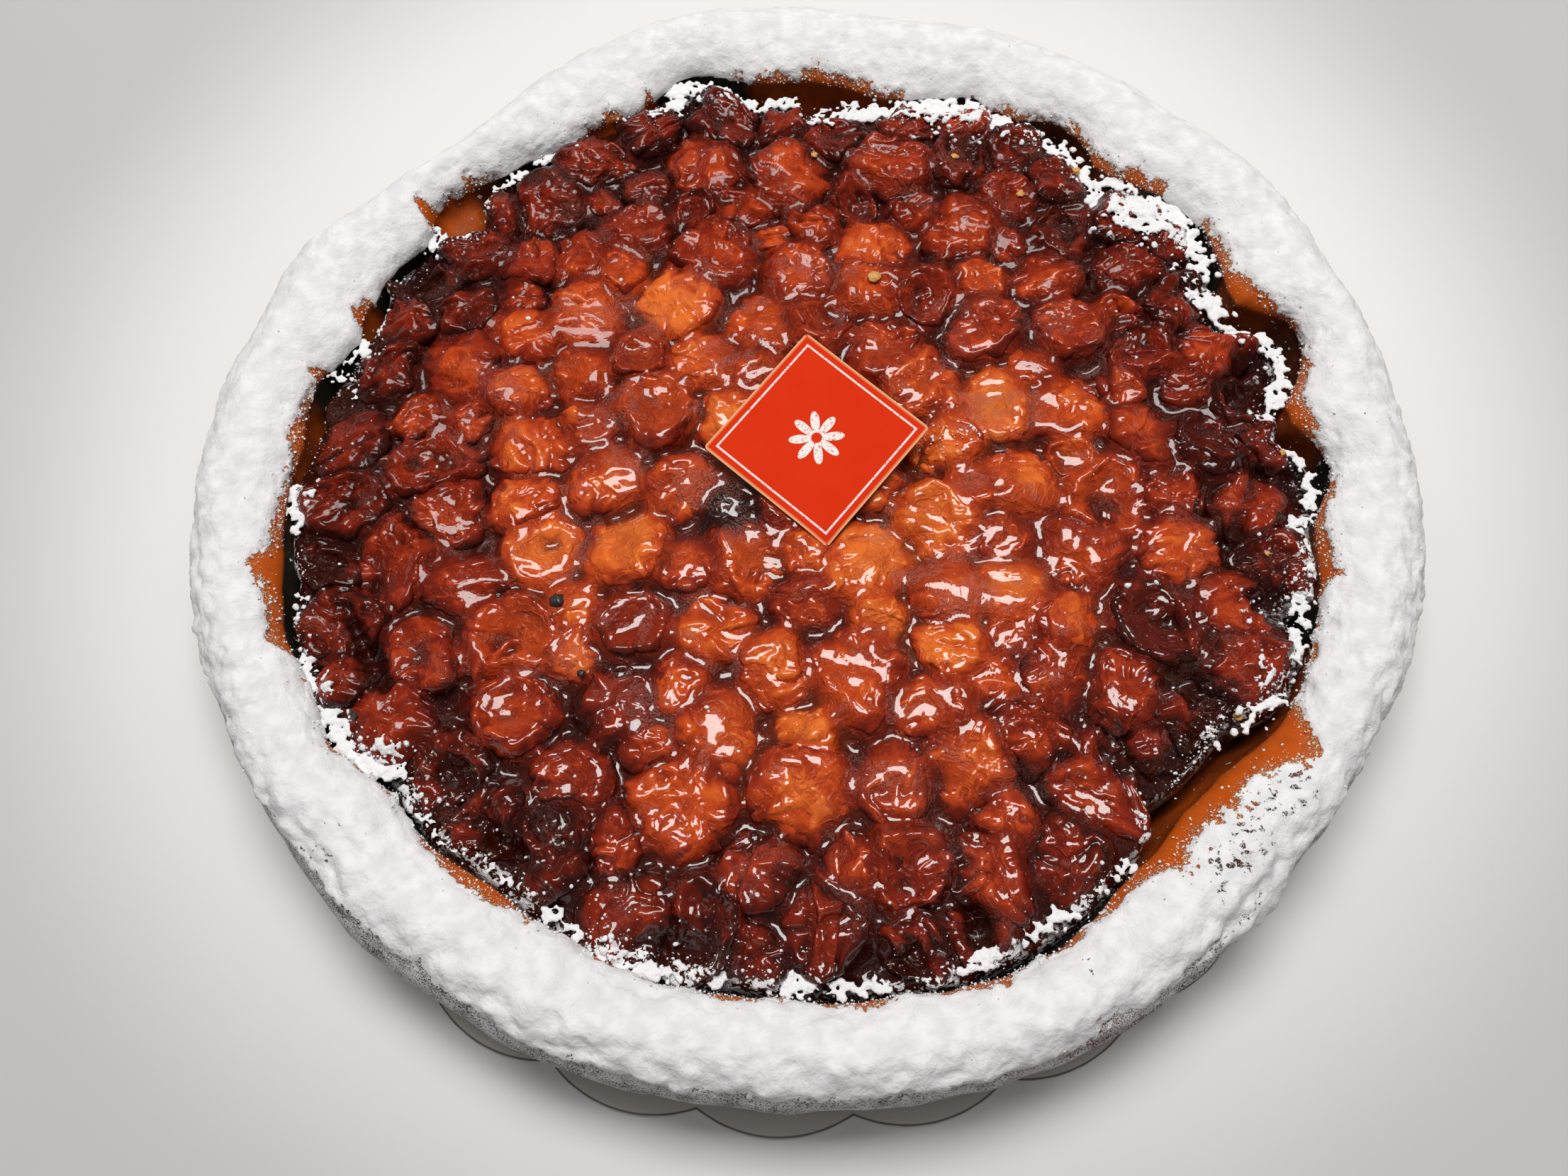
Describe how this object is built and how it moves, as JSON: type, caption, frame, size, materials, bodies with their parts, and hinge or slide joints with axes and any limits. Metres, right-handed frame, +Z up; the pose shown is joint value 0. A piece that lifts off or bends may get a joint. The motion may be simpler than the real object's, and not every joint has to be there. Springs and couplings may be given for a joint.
{
  "type": "cherry pie",
  "caption": "Open round cherry pie: thick sugared rim round whole baked cherries in set juice, on a scalloped cake card, with a small plain label card laid on the fruit.",
  "frame": {"origin": "on the table at the cake card's underside, straight under the middle of the pie", "axes": "+Z up; -Y towards the side that the label's low corner points to"},
  "size_m": [0.2752, 0.2809, 0.0358],
  "materials": {
    "grey_card": "matte",
    "sugared_pastry": "powdery, matte",
    "cherries": "wet gloss",
    "red_card": "satin"
  },
  "bodies": {
    "root": {"cake_card": "grey_card", "crust": "sugared_pastry", "cherry_filling": "cherries", "label_card": "red_card"}
  },
  "joints": []
}
